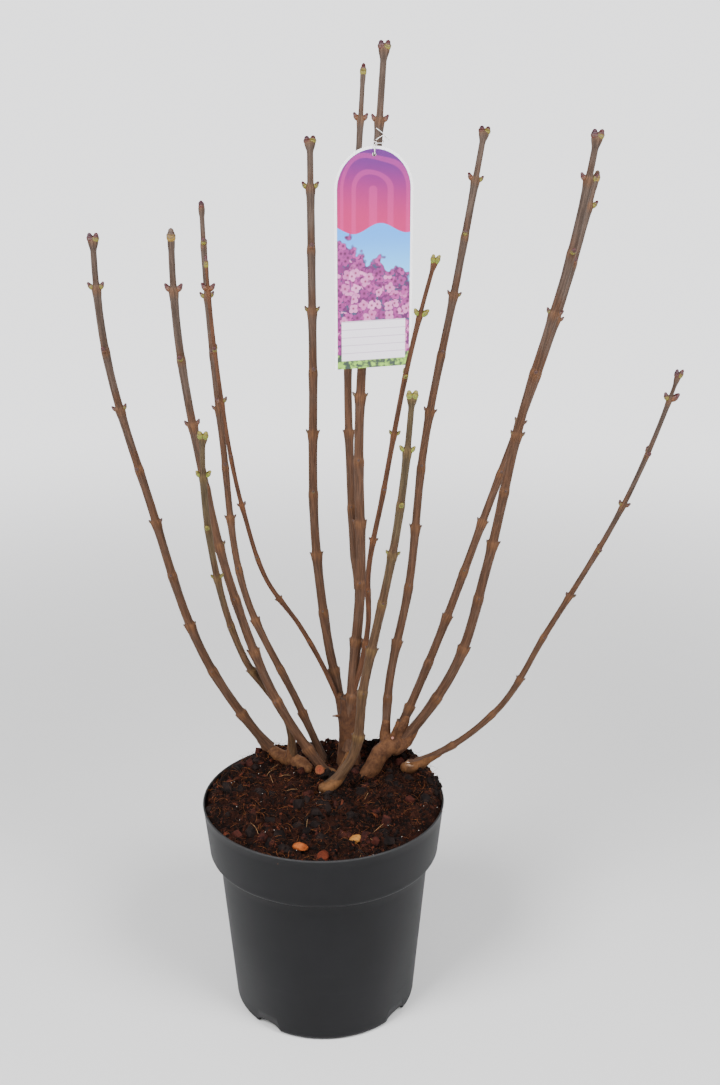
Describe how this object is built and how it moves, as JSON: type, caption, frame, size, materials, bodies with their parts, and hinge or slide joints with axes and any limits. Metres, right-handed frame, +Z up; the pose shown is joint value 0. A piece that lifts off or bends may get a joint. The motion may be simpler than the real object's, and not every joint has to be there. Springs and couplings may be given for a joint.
{
  "type": "potted lilac",
  "caption": "Bare winter lilac with upright canes fanning from a low woody crown, planted in a round black collared nursery pot with a plain hanging label.",
  "frame": {"origin": "centre of the pot's flat underside", "axes": "+Z up the plant, +X to the plant's right hand side as seen from the front, front faces -Y"},
  "size_m": [0.5833, 0.3682, 1.0565],
  "materials": {
    "pot_plastic": "charcoal black moulded plastic, satin",
    "soil": "dark peat with bark fibres, dry on top",
    "old_bark": "rough brown bark with pruned faces",
    "cane_bark": "smooth grey brown bark, warmer near the foot",
    "young_bark": "thin young bark, reddish to olive",
    "label_card": "printed plastic card, semi gloss",
    "tie_thread": "off-white thread"
  },
  "bodies": {
    "root": {"pot": "pot_plastic", "soil": "soil", "stump_left": "old_bark", "stump_centre": "old_bark", "stump_right": "old_bark", "stump_front": "old_bark", "stump_outer": "old_bark", "cane_left_outer": "cane_bark", "cane_left_second": "cane_bark", "cane_left_short": "young_bark", "cane_left_third": "cane_bark", "cane_left_whip": "young_bark", "cane_centre_left": "cane_bark", "cane_centre_back": "cane_bark", "cane_centre_tall": "cane_bark", "cane_right_thin": "young_bark", "cane_front_short": "young_bark", "cane_right_back": "cane_bark", "cane_right_main": "cane_bark", "cane_right_second": "cane_bark", "cane_right_outer": "cane_bark", "label": "label_card", "label_tie": "tie_thread"}
  },
  "joints": []
}
